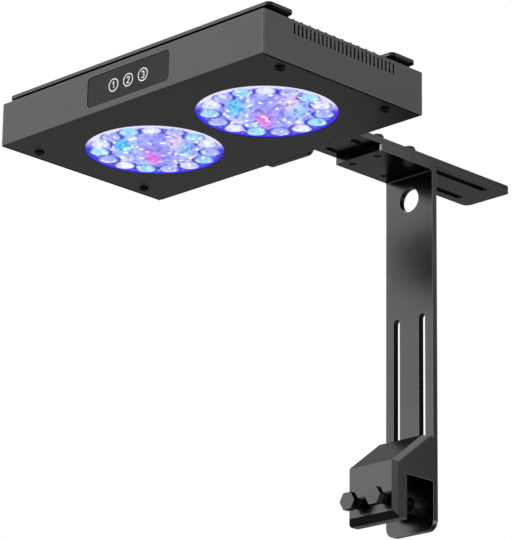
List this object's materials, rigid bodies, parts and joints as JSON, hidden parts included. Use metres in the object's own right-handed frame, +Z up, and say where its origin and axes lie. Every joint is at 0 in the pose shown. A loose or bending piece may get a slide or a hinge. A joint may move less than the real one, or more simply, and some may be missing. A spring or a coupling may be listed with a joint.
{
  "type": "clamp-on aquarium light",
  "caption": "Slim box-shaped LED aquarium light with lens windows below and a finned top, on a slotted arm and post with a screw clamp for the wall of a tank.",
  "frame": {"origin": "middle of the clamp's seat on the tank rim: the roof of the gap between jaw and post", "axes": "+X along the lamp, to the right seen from its control panel; +Y from the lamp towards the post; +Z up"},
  "size_m": [0.21, 0.3054, 0.2342],
  "materials": {
    "anodised_black": "satin black coating",
    "heat_sink_black": "black anodised",
    "black_steel": "black oxide",
    "zinc_steel": "zinc plated",
    "black_rubber": "matte",
    "lens_acrylic": "clear, lit blue",
    "led_board_white": "white mask",
    "circuit_board": "green mask",
    "overlay_film": "smooth dark film",
    "inlet_plastic": "moulded"
  },
  "bodies": {
    "clamp": {"clamp_block": "anodised_black", "clamp_slide_screw_1": "black_steel", "clamp_slide_screw_2": "black_steel", "clamp_slide_washer_1": "black_steel", "clamp_slide_washer_2": "black_steel"},
    "bolt_left": {"clamp_bolt_left": "black_steel", "clamp_pad_left": "black_rubber"},
    "bolt_right": {"clamp_bolt_right": "black_steel", "clamp_pad_right": "black_rubber"},
    "post": {"post_bracket": "anodised_black", "arm_lock_screw_1": "black_steel", "arm_lock_screw_2": "black_steel", "arm_lock_screw_3": "black_steel", "arm_lock_screw_4": "black_steel", "arm_lock_washer_1": "black_steel", "arm_lock_washer_2": "black_steel", "arm_lock_washer_3": "black_steel", "arm_lock_washer_4": "black_steel"},
    "lamp": {"reach_arm": "anodised_black", "arm_leg_screw_1": "black_steel", "arm_leg_screw_2": "black_steel", "arm_leg_screw_3": "black_steel", "arm_leg_screw_4": "black_steel", "arm_nut_plate": "zinc_steel", "housing_shell": "anodised_black", "end_panel_left": "anodised_black", "end_panel_right": "anodised_black", "bottom_screw_1": "black_steel", "bottom_screw_2": "black_steel", "bottom_screw_3": "black_steel", "bottom_screw_4": "black_steel", "spacer_post_1": "zinc_steel", "spacer_post_2": "zinc_steel", "spacer_post_3": "zinc_steel", "spacer_post_4": "zinc_steel", "heat_sink": "heat_sink_black", "lens_array_left": "lens_acrylic", "lens_array_right": "lens_acrylic", "window_gasket_left": "black_rubber", "window_gasket_right": "black_rubber", "led_board_left": "led_board_white", "led_board_right": "led_board_white", "control_overlay": "overlay_film", "control_board": "circuit_board", "driver_board": "circuit_board", "dc_inlet": "inlet_plastic"}
  },
  "joints": [
    {"name": "clamp_height", "type": "slide", "parent": "clamp", "child": "post", "axis": [0, 0, 1], "range_m": [-0.088, 0]},
    {"name": "arm_reach", "type": "slide", "parent": "post", "child": "lamp", "axis": [0, 1, 0], "range_m": [-0.0675, 0.0198]},
    {"name": "bolt_left_feed", "type": "slide", "parent": "clamp", "child": "bolt_left", "axis": [0, 1, 0], "range_m": [-0.0105, 0.005]},
    {"name": "bolt_right_feed", "type": "slide", "parent": "clamp", "child": "bolt_right", "axis": [0, 1, 0], "range_m": [-0.0105, 0.005]}
  ]
}
